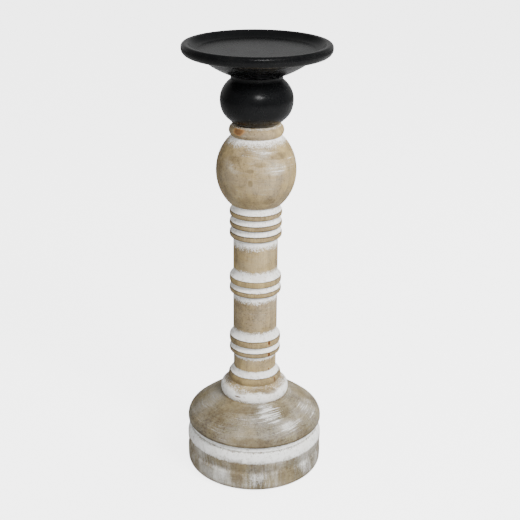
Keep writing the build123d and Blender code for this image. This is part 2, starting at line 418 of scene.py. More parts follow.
def lamp(name, place, aim, size, power, gleams=False):
    """A soft lamp at a place, turned towards a point. Size is its width and height."""
    data = bpy.data.lights.new(name, "AREA")
    data.shape = "RECTANGLE"
    data.size, data.size_y = size
    data.energy = power
    made = bpy.data.objects.new(name, data)
    facing = (Vector(aim) - Vector(place)).to_track_quat("-Z", "Y")
    made.matrix_world = Matrix.Translation(place) @ facing.to_matrix().to_4x4()
    made.visible_glossy = gleams
    bpy.context.scene.collection.objects.link(made)
    return made


middle = (0, 0, height / 2)
lamp("key", (0.80, -1.00, 1.15), middle, (0.55, 0.55), 48.0)
lamp("fill", (-1.4, -0.9, 0.8), middle, (1.0, 1.0), 7.0)
lamp("edge", (1.1, 0.7, 0.9), middle, (0.7, 0.7), 14.0)
lamp("window", (0.22, -1.30, 1.25), (0, 0, 0.33), (0.46, 0.13), 13.0, gleams=True)

# %% [markdown]
# ## Grain
# Wood is the same all the way through, so its pattern is read in three dimensions. Growth rings are
# cylinders round the heart of the tree, which lies beside the turning axis. Where a ball cuts them
# they show as arcs, and on a straight shaft they show as upright bands. Fine fibres and open pores
# run along the height. An image of wood would show its seam where it meets itself, so one node
# group gives all of this instead, to the whitewashed pieces and, as relief, to the black ones.


# %% Grain group
def object_place(tree):
    """Object coordinates, and the same as separate X, Y and Z sockets."""
    place = add(tree, "ShaderNodeTexCoord", out=3)
    return place, add(tree, "ShaderNodeSeparateXYZ", place, out=None).outputs


def noise(tree, place, scale, detail=3.0, rough=0.55, stretch=None, distort=0.0):
    """Noise from 0 to 1 on a place, stretched along an axis by scaling that axis down."""
    if stretch:
        place = add(tree, "ShaderNodeVectorMath", place, stretch, operation="MULTIPLY")
    return add(tree, "ShaderNodeTexNoise", place, scale, detail, rough, None, distort)


def smooth(tree, value, low, high, to_low=0.0, to_high=1.0):
    """A soft step from one value to another."""
    return add(tree, "ShaderNodeMapRange", value, low, high, to_low, to_high,
               interpolation_type="SMOOTHSTEP")


def build_grain():
    """Growth rings, fibres and pores of a plain tropical hardwood."""
    tree, given, result = new_tree(
        "wood_grain", "ShaderNodeTree",
        [("Ring Width", "Float", 0.004), ("Heart", "Vector", (0.03, 0.02, 0.0))],
        [("Rings", "Float"), ("Fibres", "Float"), ("Pores", "Float"), ("Cloud", "Float")],
    )
    place, _ = object_place(tree)
    offset = add(tree, "ShaderNodeVectorMath", place, given["Heart"], operation="SUBTRACT")
    bend = noise(tree, place, 14.0, 2.0, 0.5, (1.0, 1.0, 0.35))
    flat = add(tree, "ShaderNodeVectorMath", offset, (1.0, 1.0, 0.16), operation="MULTIPLY")
    distance = add(tree, "ShaderNodeVectorMath", flat, operation="LENGTH", out=0)
    distance = plus(tree, distance, times(tree, bend, 0.016))
    rings = math(tree, "FRACT", math(tree, "DIVIDE", distance, given["Ring Width"]))
    rings = times(tree, rings, smooth(tree, rings, 1.0, 0.82))
    fibres = noise(tree, place, 1400.0, 2.0, 0.6, (1.0, 1.0, 0.035))
    coarse = noise(tree, place, 420.0, 2.0, 0.6, (1.0, 1.0, 0.05))
    fibres = times(tree, plus(tree, fibres, coarse), 0.5)
    pores = noise(tree, place, 1100.0, 1.0, 0.5, (1.0, 1.0, 0.12))
    pores = smooth(tree, pores, 0.61, 0.70)
    cloud = noise(tree, place, 30.0, 3.0, 0.55, (1.0, 1.0, 0.5), 0.4)
    for label, value in (("Rings", rings), ("Fibres", fibres), ("Pores", pores), ("Cloud", cloud)):
        tree.links.new(value, result[label])
    return tree


grain = build_grain()
print("grain group", len(grain.nodes), "nodes")

# %% [markdown]
# ## White paint
# The white was brushed on and rubbed off again. It stays in the grooves, fades out over the shafts
# in a grainy edge, and was dragged over the ball and the bell with an almost dry brush. The first
# group turns the outline's paint mark into that grainy edge. The second makes the dry strokes,
# which run round the axis: their noise reads the direction from the axis, so it closes on itself.
# The third is one soft spot at a place. Painting all this by hand would not follow a changed outline.


# %% Paint groups
def build_rubbed_paint():
    """Turns a paint amount into a broken, speckled edge."""
    tree, given, result = new_tree(
        "rubbed_paint", "ShaderNodeTree",
        [("Amount", "Float", 0.0), ("Fibres", "Float", 0.5), ("Speckle", "Float", 0.5)],
        [("Mask", "Float")],
    )
    place, _ = object_place(tree)
    blotch = noise(tree, place, 160.0, 3.0, 0.6)
    speck = noise(tree, place, 1000.0, 4.0, 0.7)
    blotchy = times(tree, minus(tree, blotch, 0.5), 0.5)
    speckled = times(tree, minus(tree, speck, 0.5), given["Speckle"])
    along_grain = times(tree, minus(tree, given["Fibres"], 0.5), 0.4)
    rough = plus(tree, plus(tree, blotchy, speckled), along_grain)
    some = times(tree, given["Amount"], 4.0, clamp=True)
    level = plus(tree, given["Amount"], times(tree, rough, some))
    tree.links.new(smooth(tree, level, 0.26, 0.70), result["Mask"])
    return tree


def build_dry_brush():
    """Thin broken strokes that run round the axis."""
    tree, given, result = new_tree(
        "dry_brush", "ShaderNodeTree",
        [("Amount", "Float", 0.5), ("Stroke Width", "Float", 0.0011), ("Turns", "Float", 1.5),
         ("Slant", "Float", 0.0), ("Seed", "Float", 0.0)],
        [("Mask", "Float"), ("Veil", "Float")],
    )
    place, axis = object_place(tree)
    flat = add(tree, "ShaderNodeVectorMath", place, (1.0, 1.0, 0.0), operation="MULTIPLY")
    reach = add(tree, "ShaderNodeVectorMath", flat, operation="LENGTH", out=0)
    turn_way = add(tree, "ShaderNodeVectorMath", flat, operation="NORMALIZE")
    rise = minus(tree, axis[2], times(tree, reach, 0.8))
    rise = plus(tree, rise, times(tree, axis[0], given["Slant"]))
    wander = minus(tree, noise(tree, place, 26.0, 2.0, 0.5), 0.5)
    rise = plus(tree, rise, times(tree, wander, 0.009))
    rise = math(tree, "DIVIDE", rise, given["Stroke Width"])
    lift = add(tree, "ShaderNodeCombineXYZ", 0.0, 0.0, rise)
    round_place = add(tree, "ShaderNodeVectorMath", turn_way, operation="SCALE")
    tree.links.new(given["Turns"], round_place.node.inputs["Scale"])
    stroke_place = add(tree, "ShaderNodeVectorMath", round_place, lift, operation="ADD")
    strokes = add(tree, "ShaderNodeTexNoise", stroke_place, given["Seed"], 1.0, 3.0, 0.6,
                  noise_dimensions="4D")
    patches = add(tree, "ShaderNodeTexNoise", place, given["Seed"], 38.0, 2.0, 0.5,
                  noise_dimensions="4D")
    broken = noise(tree, place, 1300.0, 3.0, 0.65)
    level = plus(tree, times(tree, strokes, 1.9), times(tree, patches, 0.7))
    level = plus(tree, level, times(tree, broken, 0.7))
    level = plus(tree, level, minus(tree, given["Amount"], 1.65))
    tree.links.new(smooth(tree, level, 0.40, 0.66), result["Mask"])
    thin = plus(tree, times(tree, strokes, 0.22), times(tree, patches, 0.48))
    thin = plus(tree, thin, times(tree, broken, 0.30))
    tree.links.new(smooth(tree, thin, 0.42, 0.64), result["Veil"])
    return tree


def build_spot():
    """A soft-edged place on the surface, for a knot, a crack or a thicker dab of paint."""
    tree, given, result = new_tree(
        "spot", "ShaderNodeTree",
        [("Centre", "Vector"), ("Half Size", "Vector", (0.01, 0.01, 0.01)),
         ("Raggedness", "Float", 0.4)],
        [("Mask", "Float")],
    )
    place, _ = object_place(tree)
    away = add(tree, "ShaderNodeVectorMath", place, given["Centre"], operation="SUBTRACT")
    away = add(tree, "ShaderNodeVectorMath", away, given["Half Size"], operation="DIVIDE")
    away = add(tree, "ShaderNodeVectorMath", away, operation="LENGTH", out=0)
    ragged = minus(tree, noise(tree, place, 190.0, 4.0, 0.65), 0.5)
    away = plus(tree, away, times(tree, ragged, given["Raggedness"]))
    tree.links.new(smooth(tree, away, 1.0, 0.4), result["Mask"])
    return tree


rubbed_paint = build_rubbed_paint()
dry_brush = build_dry_brush()
spot_group = build_spot()
print("paint groups", rubbed_paint.name, dry_brush.name, spot_group.name)

# %% [markdown]
# ## Using a group
# Each finish puts a few of these groups into its own material and mixes colours by their masks. The
# nodes could be joined one by one each time. Four short functions do it in one call, and the finish
# then reads as a list of layers.


# %% Use a group in a material
def group(tree, source, out=0, **values):
    """Places a group in a tree. Values are given by input name, with _ for a space."""
    node = tree.nodes.new("ShaderNodeGroup")
    node.node_tree = source
    for name, value in values.items():
        socket = node.inputs[name.replace("_", " ")]
        if isinstance(value, bpy.types.NodeSocket):
            tree.links.new(value, socket)
        else:
            socket.default_value = value
    return node if out is None else node.outputs[out]


def mix(tree, share, first, second):
    """A colour between two, by a share from 0 to 1."""
    node = tree.nodes.new("ShaderNodeMix")
    node.data_type = "RGBA"
    sockets = (node.inputs[0], node.inputs[6], node.inputs[7])
    for socket, value in zip(sockets, (share, first, second)):
        if isinstance(value, bpy.types.NodeSocket):
            tree.links.new(value, socket)
        elif socket.name == "Factor":
            socket.default_value = value
        else:
            socket.default_value = (*value, 1.0)
    return node.outputs[2]


def marked(tree, label):
    """One of the outline's marks, as it was stored on the piece."""
    return add(tree, "ShaderNodeAttribute", attribute_name=label, out=2)


def bump(tree, shader, relief, strength, depth):
    """Fine relief on a shader's surface."""
    node = tree.nodes.new("ShaderNodeBump")
    node.inputs["Strength"].default_value = strength
    node.inputs["Distance"].default_value = depth
    tree.links.new(relief, node.inputs["Height"])
    tree.links.new(node.outputs[0], shader.inputs["Normal"])


print("finish helpers", [helper.__name__ for helper in (group, mix, marked, bump)])

# %% [markdown]
# ## Knots, dabs, smudges and painted shade
# Some marks sit at certain places on the wood: a knot, a thick dab of white, a smudge of grime, a
# patch of painted shade. They could be painted on an unwrapped surface, but that needs an image.
# Here each is a soft spot, placed by its angle round from the front, its radius and its height, and
# several are joined in one mask.


# %% Place the spots
def on_surface(degrees_right, radius, z):
    """A place on a turned surface, by its angle round to the right of the front."""
    angle = radians(degrees_right)
    return (radius * MM * sin(angle), -radius * MM * cos(angle), z * MM)


def spots(tree, places):
    """The strongest of several spots. Each has its angle, radius and height, its half size and
    its strength."""
    total = 0.0
    for place, half_size, strength in places:
        size = tuple(v * MM for v in half_size)
        one = group(tree, spot_group, Centre=on_surface(*place), Half_Size=size, Raggedness=0.75)
        total = larger(tree, total, times(tree, one, strength))
    return total


print("front of the bell", on_surface(0, 57.0, 48.5))

# %% [markdown]
# ## Bare wood
# Under the wash is dry greige wood in two tones. Growth rings, fibre streaks, grime in the pores and
# knots each darken it a little. Grime also darkens the rubbed corners; along the lower corners of
# the rings and under the bell's lip that darkening is painted shade. One painted texture could hold
# all of them, but layers mixed one over another keep each cause separate, so that each can be made
# stronger or weaker on its own.

# %% Bare wood
greige = (0.330, 0.250, 0.132)
warm_wood = (0.440, 0.325, 0.142)
weathered = (0.270, 0.220, 0.120)
grey_wood = (0.165, 0.142, 0.084)
dark_wood = (0.105, 0.075, 0.042)
knot_brown = (0.085, 0.040, 0.016)
amber = (0.330, 0.165, 0.052)
# The darkest brown is grime in the pores and on rubbed corners, and painted shade on lower corners.
grime_and_shade = (0.050, 0.038, 0.026)


def bare_wood(tree, place, edge, woods, ring_width, heart, soiling, knots, smudges_and_shadows):
    """The wood's colour, and the masks that the paint and the relief need."""
    wood = group(tree, grain, out=None, Ring_Width=ring_width, Heart=heart)
    rings, fibres, pores, cloud = wood.outputs
    streak = smooth(tree, fibres, 0.32, 0.66)
    colour = mix(tree, smooth(tree, cloud, 0.34, 0.66), *woods)
    colour = mix(tree, times(tree, rings, 0.38), colour, dark_wood)
    colour = mix(tree, times(tree, streak, 0.30), colour, dark_wood)

    mottle = smooth(tree, noise(tree, place, 85.0, 5.0, 0.7), 0.42, 0.68)
    # Smudges are dark patches of grime; on the base two of them are painted shade, under the foot
    # ring and under the bead.
    smudge_and_shadow = times(tree, spots(tree, smudges_and_shadows), smooth(tree, mottle, 0.0, 1.0, 0.55, 1.0))
    soiled_and_shaded = larger(tree, times(tree, mottle, soiling), times(tree, smudge_and_shadow, 0.85))
    colour = mix(tree, soiled_and_shaded, colour, dark_wood)
    speckle = smooth(tree, noise(tree, place, 520.0, 5.0, 0.75), 0.50, 0.60)
    density = smooth(tree, cloud, 0.35, 0.65, soiling * 0.4, soiling * 1.3)
    colour = mix(tree, times(tree, speckle, density), colour, grime_and_shade)
    colour = mix(tree, times(tree, pores, 0.22), colour, knot_brown)

    knot = spots(tree, knots)
    colour = mix(tree, smooth(tree, knot, 0.0, 0.45), colour, amber)
    colour = mix(tree, smooth(tree, knot, 0.35, 0.90), colour, knot_brown)
    # Corners picked out by the edge mark turn to the darkest brown in patches: rubbed grime on
    # exposed corners, and painted shade on the rings' lower corners and under the bell's lip.
    patchy = smooth(tree, cloud, 0.30, 0.55, 0.6, 1.0)
    patchy_edges = times(tree, smooth(tree, edge, 0.58, 0.95), patchy)
    colour = mix(tree, patchy_edges, colour, grime_and_shade)
    return colour, fibres, streak, pores, smudge_and_shadow, knot


print("wood tones", greige, warm_wood, weathered, grey_wood)

# %% [markdown]
# ## White wash
# The white is the stronger of two coats: the one rubbed off the turned form, which the outline's
# marks place, and the one dragged on with a dry brush. Smudges, patches of painted shade and knots
# break through both. On the drum the strokes run upright. Mixing paint over wood, not tinting the
# wood, keeps it chalky.

# %% White wash
chalk_white = (0.92, 0.92, 0.90)
chalk_grey = (0.66, 0.64, 0.58)


def brush_coat(tree, height_up, veil, brush, slant, dabs, upright_below):
    """The dry-brushed white: clear strokes and a thin coat between them."""
    dab = spots(tree, dabs)
    amount = plus(tree, brush, dab)
    round_strokes = group(tree, dry_brush, out=None, Amount=amount, Slant=slant, Seed=3.0)
    strokes, thin_coat = round_strokes.outputs
    if upright_below:
        upright = group(tree, dry_brush, out=None, Amount=amount, Stroke_Width=0.022, Turns=24.0,
                        Seed=7.0)
        low = smooth(tree, height_up, upright_below + 2 * MM, upright_below - 3 * MM)
        strokes = add(tree, "ShaderNodeMix", low, strokes, times(tree, upright.outputs[0], 0.30))
        thin_coat = add(tree, "ShaderNodeMix", low, thin_coat, times(tree, upright.outputs[1], 2.3))
    thin_coat = times(tree, thin_coat, plus(tree, veil, times(tree, dab, 1.1)))
    return larger(tree, times(tree, strokes, 0.80), thin_coat)


def whitewashed(name, woods, ring_width, heart, veil, brush, slant, soiling, knots, dabs, smudges_and_shadows,
                upright_below=None):
    """Two tones of wood with white paint rubbed and brushed over them."""
    material, tree, shader = new_material(name)
    place, axes = object_place(tree)
    edge = marked(tree, "edge")
    colour, fibres, streak, pores, smudge_and_shadow, knot = bare_wood(
        tree, place, edge, woods, ring_width, heart, soiling, knots, smudges_and_shadows
    )
    rubbed = group(tree, rubbed_paint, Amount=marked(tree, "paint"), Fibres=fibres, Speckle=1.5)
    rubbed_through = smooth(tree, noise(tree, place, 330.0, 5.0, 0.75), 0.50, 0.66, 1.0, 0.55)
    brushed = brush_coat(tree, axes[2], veil, brush, slant, dabs, upright_below)
    brushed = times(tree, brushed, smooth(tree, edge, 0.2, 0.6, 1.0, 0.15))
    white = larger(tree, times(tree, rubbed, rubbed_through), brushed)
    white = times(tree, white, smooth(tree, fibres, 0.25, 0.6, 0.97, 0.86))
    # White thins under smudges, and under the spots of painted shade below the foot ring and the
    # bead.
    white = times(tree, white, smooth(tree, smudge_and_shadow, 0.0, 0.65, 1.0, 0.15))
    white = times(tree, white, smooth(tree, knot, 0.2, 0.9, 1.0, 0.1))
    stained = smooth(tree, noise(tree, place, 70.0, 4.0, 0.65), 0.48, 0.72, 0.0, 0.6)
    colour = mix(tree, white, colour, mix(tree, stained, chalk_white, chalk_grey))
    tree.links.new(colour, shader.inputs["Base Color"])
    tree.links.new(smooth(tree, white, 0.0, 1.0, 0.66, 0.82), shader.inputs["Roughness"])
    shader.inputs["Specular IOR Level"].default_value = 0.28

    relief = minus(tree, times(tree, white, 0.5), times(tree, streak, 0.5))
    relief = minus(tree, relief, times(tree, pores, 0.8))
    bump(tree, shader, minus(tree, relief, knot), strength=0.6, depth=0.2 * MM)
    print(name, len(tree.nodes), "nodes")
    return material


print("whites", chalk_white, chalk_grey)

# %% [markdown]
# ## The column's finish
# The column's wood is warm, and its ring faces were sanded bare after painting. A line of small
# knots runs down through the lower rings on the right. The ball's upper half holds most of its
# brushed white and grime.

# %% The column's finish
column_wood = whitewashed(
    "column_whitewashed_wood",
    woods=(warm_wood, greige),
    ring_width=0.0052,
    heart=(0.012, 0.075, 0.268),
    veil=0.09,
    brush=0.02,
    slant=0.10,
    soiling=0.40,
    knots=[
        ((-42, 22.0, 308.2), (9.5, 6.0, 3.6), 0.72),
        ((34, 21.5, 123.6), (1.7, 1.7, 2.6), 0.95),
        ((34, 21.5, 112.9), (1.7, 1.7, 2.8), 0.95),
        ((41, 18.2, 96.5), (1.2, 1.2, 1.6), 0.9),
        ((50, 22.5, 86.8), (1.0, 1.0, 4.0), 0.9),
        ((-30, 29.0, 75.6), (4.5, 4.0, 0.8), 1.0),
    ],
    dabs=[
        ((-28, 31.5, 282.0), (13.0, 10.0, 6.0), 0.26),
        ((30, 32.0, 281.0), (15.0, 12.0, 6.5), 0.32),
        ((66, 31.0, 283.0), (10.0, 12.0, 7.0), 0.30),
        ((0, 29.0, 293.0), (26.0, 14.0, 5.0), 0.26),
        ((0, 31.0, 285.0), (38.0, 34.0, 8.0), 0.13),
    ],
    smudges_and_shadows=[
        ((42, 30.5, 290.5), (15.0, 11.0, 3.6), 1.0),
        ((-8, 32.0, 280.5), (4.5, 4.5, 2.4), 1.0),
        ((-8, 33.0, 270.5), (3.0, 3.0, 3.6), 1.0),
        ((6, 31.0, 285.5), (8.0, 10.0, 2.6), 0.9),
        ((-34, 31.0, 288.0), (11.0, 10.0, 4.0), 0.7),
        ((24, 29.5, 253.5), (9.0, 10.0, 4.5), 0.85),
        ((-8, 29.5, 256.0), (9.0, 9.0, 5.0), 0.6),
        ((-36, 29.5, 264.0), (4.0, 6.0, 9.0), 0.6),
        ((-24, 27.0, 79.0), (8.0, 6.0, 2.0), 0.7),
        ((30, 26.0, 80.0), (12.0, 8.0, 3.0), 0.9),
        ((0, 25.0, 81.0), (9.0, 6.0, 2.0), 0.8),
    ],
)

# %% [markdown]
# ## The base's finish
# The base was painted more freely. Its wood is greyer and dirtier, a broad white patch was dragged
# over the bell right of the front, and the drum was brushed upright, along the grain. A dark patch on
# the bell under the foot ring is painted shade, and a dark band all round under the bead is painted
# shadow over a brown line in the wood.

# %% The base's finish
base_wood = whitewashed(
    "base_whitewashed_wood",
    woods=(weathered, grey_wood),
    ring_width=0.0075,
    heart=(-0.05, 0.09, 0.2),
    veil=0.22,
    brush=0.16,
    slant=-0.10,
    soiling=0.62,
    knots=[((44, 57.6, 37.0), (1.5, 1.5, 1.0), 0.9)],
    dabs=[
        ((21, 38.5, 65.0), (15.0, 17.0, 8.5), 0.38),
        ((40, 50.0, 56.5), (14.0, 14.0, 5.0), 0.26),
        ((-14, 44.0, 61.5), (22.0, 14.0, 5.0), 0.16),
        ((-40, 52.0, 55.0), (14.0, 14.0, 4.0), 0.16),
        ((75, 48.0, 58.0), (12.0, 20.0, 10.0), 0.2),
        ((6, 58.6, 10.0), (14.0, 8.0, 12.0), 0.30),
        ((-33, 58.6, 14.0), (12.0, 12.0, 12.0), 0.12),
        ((48, 58.6, 12.0), (16.0, 16.0, 12.0), 0.24),
    ],
    smudges_and_shadows=[
        ((0, 57.0, 48.5), (36.0, 10.0, 5.5), 0.9),
        ((-58, 50.0, 55.0), (20.0, 22.0, 12.0), 0.6),
        # painted shade on the bell, under the foot ring
        ((-10, 34.0, 67.0), (18.0, 9.0, 3.6), 0.9),
        ((-14, 58.6, 14.0), (8.0, 8.0, 14.0), 0.8),
        ((24, 58.6, 15.0), (6.0, 6.0, 14.0), 0.8),
        # painted shadow under the bead, over a brown line at the drum's top
        ((0, 58.6, 25.0), (64.0, 64.0, 10.0), 0.5),
        ((-66, 58.6, 12.0), (16.0, 20.0, 16.0), 0.6),
    ],
    upright_below=30 * MM,
)

# %% [markdown]
# ## Black paint
# The plate and the knop are sprayed satin black over sanded wood. The grain and a fine pebbling show
# faintly as relief, handling leaves the sheen uneven, and the rim is rubbed a little. A plain smooth
# black would be simpler, but the pieces would then look like plastic.

# %% Black paint
deep_black = (0.0030, 0.0032, 0.0035)
dull_black = (0.0048, 0.0050, 0.0053)
rubbed_black = (0.030, 0.027, 0.024)
dust_grey = (0.20, 0.20, 0.19)

black_paint, tree, shader = new_material("satin_black_paint")
wood = group(tree, grain, out=None, Ring_Width=0.006, Heart=(0.09, 0.02, 0.0))
place, _ = object_place(tree)
haze = noise(tree, place, 55.0, 4.0, 0.6)
black = mix(tree, smooth(tree, haze, 0.3, 0.7), deep_black, dull_black)
patchy = smooth(tree, noise(tree, place, 240.0, 3.0, 0.6), 0.50, 0.66)
patchy_edges = times(tree, marked(tree, "edge"), patchy)
black = mix(tree, times(tree, patchy_edges, 0.12), black, rubbed_black)
dust = smooth(tree, noise(tree, place, 2600.0, 1.0, 0.5), 0.72, 0.80)
black = mix(tree, times(tree, dust, 0.10), black, dust_grey)
tree.links.new(black, shader.inputs["Base Color"])
tree.links.new(smooth(tree, haze, 0.25, 0.75, 0.25, 0.29), shader.inputs["Roughness"])
shader.inputs["Specular IOR Level"].default_value = 0.15
pebbling = times(tree, noise(tree, place, 900.0, 2.0, 0.5), 0.30)
skin = plus(tree, times(tree, wood.outputs["Fibres"], 0.35), pebbling)
bump(tree, shader, skin, strength=0.22, depth=0.04 * MM)
print("black paint", len(tree.nodes), "nodes")

# %% [markdown]
# ## Steel
# The hidden screws and the washer are zinc-plated: a cool bright metal with fine turning lines and a
# slightly cloudy, stained plating. The lines are noise squeezed along the axis. A ring texture would
# be too regular.

# %% Steel
bright_zinc = (0.60, 0.60, 0.57)
cloudy_zinc = (0.46, 0.46, 0.45)
zinc_stain = (0.30, 0.28, 0.24)

zinc_steel, tree, shader = new_material("zinc_plated_steel")
shader.inputs["Metallic"].default_value = 1.0
place, _ = object_place(tree)
cloudy = noise(tree, place, 260.0, 4.0, 0.6)
plating = mix(tree, smooth(tree, cloudy, 0.3, 0.7), bright_zinc, cloudy_zinc)
stain = smooth(tree, noise(tree, place, 700.0, 3.0, 0.6), 0.60, 0.72)
plating = mix(tree, times(tree, stain, 0.4), plating, zinc_stain)
tree.links.new(plating, shader.inputs["Base Color"])
tree.links.new(smooth(tree, cloudy, 0.25, 0.75, 0.26, 0.44), shader.inputs["Roughness"])
lines = noise(tree, place, 900.0, 2.0, 0.6, stretch=(0.06, 0.06, 6.0))
bump(tree, shader, lines, strength=0.3, depth=0.02 * MM)
print("steel", len(tree.nodes), "nodes")

# %% [markdown]
# ## Felt
# Needle felt is matted fibre with no thread or weave, so its colour is mottled and its surface is
# all fuzz. Real fibres could be grown on it as hair, but they would be too fine to see. Twisted
# noise and a little sheen give the same look.

# %% Felt
felt_hollow = (0.030, 0.025, 0.021)
felt_fibre = (0.085, 0.073, 0.062)
felt_patch = (0.050, 0.043, 0.038)

brown_felt, tree, shader = new_material("brown_needle_felt")
place, _ = object_place(tree)
matted = noise(tree, place, 900.0, 5.0, 0.7, distort=1.5)
mottled = smooth(tree, noise(tree, place, 90.0, 3.0, 0.6), 0.4, 0.7)
felt_colour = mix(tree, smooth(tree, matted, 0.35, 0.65), felt_hollow, felt_fibre)
felt_colour = mix(tree, times(tree, mottled, 0.4), felt_colour, felt_patch)
tree.links.new(felt_colour, shader.inputs["Base Color"])
shader.inputs["Roughness"].default_value = 0.95
shader.inputs["Sheen Weight"].default_value = 0.4
shader.inputs["Specular IOR Level"].default_value = 0.15
bump(tree, shader, matted, strength=0.8, depth=0.25 * MM)
print("felt", len(tree.nodes), "nodes")

# %% [markdown]
# ## Candle plate
# The plate is a shallow dish. Its floor is flat so that a candle stands upright, its inner wall is
# steep under a broad rounded rim, and the underside is a bowl that comes down to the knop. A scaled
# cylinder with a bevel could give the dish, but only an outline gives the rim its two curves.

# %% Candle plate
screw_hole = 3.05
knop_screw_hole = 4.05
wobble_room = 0.02

plate_low, plate_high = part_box("candle_plate")
seat = plate_low.z / MM
top = plate_high.z / MM
plate_radius = plate_high.x / MM - wobble_room
plate_floor = top - 5.0
hole_roof = seat + 14.0
plate = Outline(0, plate_floor)
plate.to(47.0, plate_floor).to(54.2, top - 0.8, via=(51.4, top - 3.5))
plate.to(55.2, top - 0.234, via=(54.46, top - 0.494)).to(57.6, top, via=(56.3, top - 0.061))
plate.to(plate_radius, top - 3.2, via=(59.28, top - 0.95), edge=0.6)
plate.to(55.5, top - 9.2, via=(58.68, top - 7.45), edge=0.2)
plate.to(44.5, seat + 13.0).to(21.4, seat, via=(35.0, seat + 6.5))
plate.to(screw_hole, seat).to(screw_hole, hole_roof).to(0, hole_roof)
turn("candle_plate_turned", plate, "candle_plate", "black_paint", black_paint, sides=224,
     Wobble=0.10 * MM, Seed=1.0)

# %% [markdown]
# ## Knop
# The knop is a squat ball with a short, slightly hollow neck. It is turned on its own, so that it
# can be sprayed black and still meet the pale collar in a crisp line. A stretched sphere would be
# too narrow at the foot, so the ball's lower half is drawn as three arcs.

# %% Knop
knop_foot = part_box("knop")[0].z / MM
knop_waist = knop_foot + 19.7
upper_hole_floor = seat - 18.0
lower_hole_roof = knop_foot + 16.0
knop = Outline(0, upper_hole_floor)
knop.to(screw_hole, upper_hole_floor).to(screw_hole, seat).to(21.3, seat)
knop.to(21.09, seat - 3.8, via=(20.9, seat - 1.9))
knop.oval(29.6, 22.8, knop_waist, knop_waist, lambda share: 0.0)
knop.to(27.5, knop_foot + 9.7, via=(29.08, knop_foot + 14.4))
knop.to(22.6, knop_foot + 3.9, via=(25.4, knop_foot + 6.6))
knop.to(17.6, knop_foot, via=(20.2, knop_foot + 1.7))
knop.to(knop_screw_hole, knop_foot).to(knop_screw_hole, lower_hole_roof).to(0, lower_hole_roof)
turn("knop_turned", knop, "knop", "black_paint", black_paint, sides=160, step=0.4,
     Wobble=0.08 * MM, Seed=2.0)

# %% [markdown]
# ## Column
# The column is drawn from the collar down. White paint fills every groove and every hollow above a
# ring, and fades along the shafts. The ring faces are bare, with their edges rubbed and chipped, and
# their lower edges darkened as painted shade. Rings could be copies slid onto a plain rod, but the
# real ones are cut from one piece of wood.


# %% Column
def ring(outline, top, bottom, radius=21.9, crown=0.35):
    """One bare ring face with soft, chipped corners; the lower one is darkened as painted shade."""
    edge = radius - crown
    outline.to(edge + 0.12, top - 0.9, via=(edge + 0.03, top - 0.3), paint=(0.25, 0.0), edge=1.0)
    outline.to(edge + 0.20, bottom + 0.9, via=(radius, (top + bottom) / 2), paint=0.0, edge=0.5)
    # The lower corner's edge mark darkens it: painted shade where the ring face turns under.
    return outline.to(edge - 0.25, bottom, via=(edge, bottom + 0.35), paint=0.0, edge=1.0)


def groove(outline, to, depth=2.2):
    """A round-bottomed groove full of white paint, from one ring's edge to the next."""
    start = outline.points[-1]
    bottom = (21.55 - depth, (start[1] + to) / 2)
    return outline.to(21.3, to, via=bottom, paint=(0.9, 1.0))


def shaft(outline, radius, top, fade, next_ring):
    """A shaft below a ring: white fading to bare wood, then white again in the flare."""
    outline.to(radius + 0.5, top - 1.1, paint=(0.3, 0.9)).to(radius, top - 1.9, paint=1.0,
                                                          via=(radius + 0.1, top - 1.4))
    outline.to(radius, top - 2.4 - 0.4 * fade, paint=(1.0, 0.62))
    outline.to(radius, top - 2.4 - 1.7 * fade, paint=(0.62, 0.0))
    outline.to(radius, next_ring + 10.0, paint=0.0)
    outline.to(radius, next_ring + 4.6, paint=(0.0, 0.72))
    return outline.to(21.35, next_ring, via=(radius + 0.75, next_ring + 2.2), paint=(0.95, 1.0))


column_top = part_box("column")[1].z / MM
column_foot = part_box("column")[0].z / MM
shoulder = column_foot + 20.0
top_hole_floor = column_top - 20.0
foot_hole_roof = column_foot + 33.4
tenon_radius = 11.0
shaft_radius = 18.7
neck_radius = 18.3


def ball_paint(share):
    """White that thins out down the ball, and comes back at its very foot."""
    below_top = max(0.0, 1.0 - share / 0.24)
    last_of_ball = max(0.0, (share - 0.985) / 0.015)
    return 0.80 * below_top**1.5 + last_of_ball


column = Outline(0, top_hole_floor)
column.to(knop_screw_hole, top_hole_floor).to(knop_screw_hole, column_top)
column.to(17.9, column_top, paint=(0.0, 0.3))
column.to(20.3, 310.4, via=(19.25, 311.18), paint=(0.4, 0.35), edge=0.3)
column.to(21.6, 309.0, via=(21.05, 309.75), paint=(0.3, 0.0), edge=0.5)
column.to(20.9, 302.6, via=(22.4, 306.0), paint=0.0, edge=0.35)
column.to(20.2, 301.95, via=(20.5, 302.1), paint=(0.1, 0.9), edge=0.2)
column.oval(33.0, 36.8, 272.5, 244.4, ball_paint)
column.to(19.7, 243.7, via=(20.1, 243.85), paint=(0.3, 1.0))
column.to(21.3, 239.3, via=(20.2, 241.4), paint=1.0)
ring(column, 239.3, 234.5)
ring(groove(column, 230.2), 230.2, 225.3)
ring(groove(column, 220.9), 220.9, 216.0)
shaft(column, shaft_radius, 216.0, 6.0, 181.1)
ring(column, 181.1, 175.1)
ring(groove(column, 171.0), 171.0, 166.3)
shaft(column, shaft_radius, 166.3, 4.5, 125.9)
ring(column, 125.9, 119.3)
ring(groove(column, 115.1), 115.1, 110.5)
column.to(18.8, 109.4, paint=(0.3, 0.9)).to(neck_radius, 108.6, paint=1.0, via=(18.4, 109.1))
column.to(neck_radius, 106.9, paint=(1.0, 0.5)).to(neck_radius, 104.8, paint=(0.5, 0.0))
column.to(neck_radius, 96.8, paint=0.0).to(neck_radius, 94.6, paint=(0.0, 0.8))
column.to(21.0, 90.8, via=(19.1, 92.3), paint=1.0)
column.to(21.3, 90.3, via=(21.2, 90.6), paint=(0.8, 0.1), edge=1.0)
